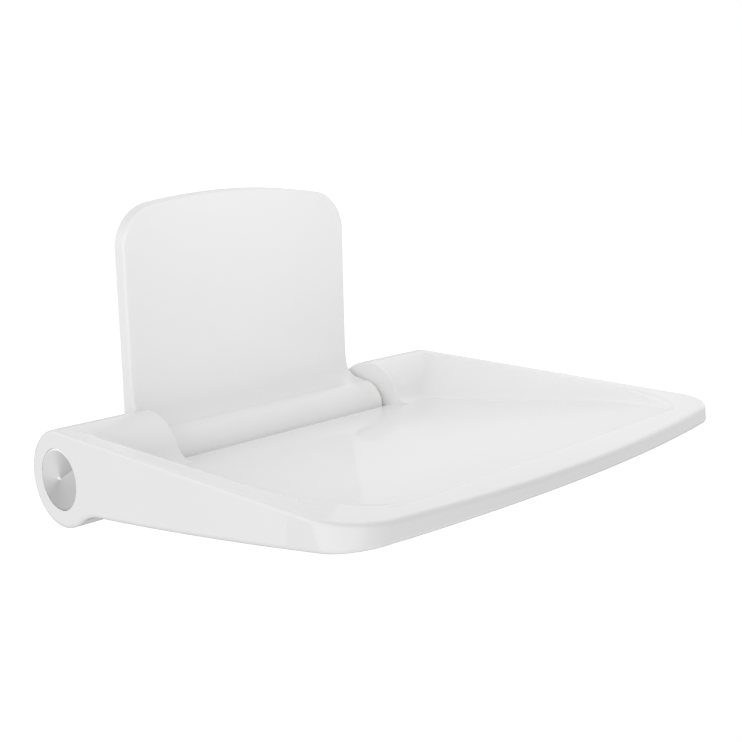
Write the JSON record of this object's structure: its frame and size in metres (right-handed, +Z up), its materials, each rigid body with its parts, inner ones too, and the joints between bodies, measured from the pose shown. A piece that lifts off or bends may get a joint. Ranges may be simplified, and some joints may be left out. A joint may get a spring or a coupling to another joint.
{
  "type": "wall-mounted folding shower seat",
  "caption": "Wall-mounted shower seat with a dished plastic seat that folds up about a hinge barrel, a short panel backrest and spun steel end caps.",
  "frame": {"origin": "on the wall plane, at the centre of the four wall screw holes", "axes": "+X along the hinge barrel to the sitter's left, +Y into the wall, +Z up"},
  "size_m": [0.42, 0.3615, 0.2352],
  "materials": {
    "white_plastic": "gloss",
    "satin_plastic": "fine texture",
    "spun_steel": "spun",
    "steel": "turned",
    "coated_steel": "satin powder coat",
    "screws": "satin",
    "rubber": "matt",
    "bearing_plastic": "matt",
    "friction_disc": "matt"
  },
  "bodies": {
    "wall_unit": {"backrest_screws": "screws", "backrest_shell": "white_plastic", "collar_pins": "steel", "disc_springs_left": "steel", "disc_springs_right": "steel", "fold_buffer_left": "rubber", "fold_buffer_right": "rubber", "hinge_shaft": "steel", "hinge_spacer_left": "bearing_plastic", "hinge_spacer_right": "bearing_plastic", "lock_nut_left": "steel", "lock_nut_right": "steel", "pressure_plate_left": "steel", "pressure_plate_right": "steel", "rear_cover": "white_plastic", "rear_cover_screws": "screws", "shaft_pins": "steel", "stop_buffer_left": "rubber", "stop_buffer_right": "rubber", "stop_collar_left": "steel", "stop_collar_right": "steel", "wall_bracket": "coated_steel"},
    "seat": {"arm_screws": "screws", "base_cover_screws": "screws", "cross_bar": "coated_steel", "cross_bar_screws": "screws", "end_cap_left": "spun_steel", "end_cap_right": "spun_steel", "friction_washer_left": "friction_disc", "friction_washer_right": "friction_disc", "hinge_bush_left": "bearing_plastic", "hinge_bush_right": "bearing_plastic", "seat_arm_left": "coated_steel", "seat_arm_right": "coated_steel", "seat_base_cover": "satin_plastic", "seat_shell": "white_plastic"}
  },
  "joints": [
    {"name": "seat_fold", "type": "hinge", "parent": "wall_unit", "child": "seat", "pos_m": [0, -0.041, -0.105], "axis": [-1, 0, 0], "range_deg": [0, 90]}
  ]
}
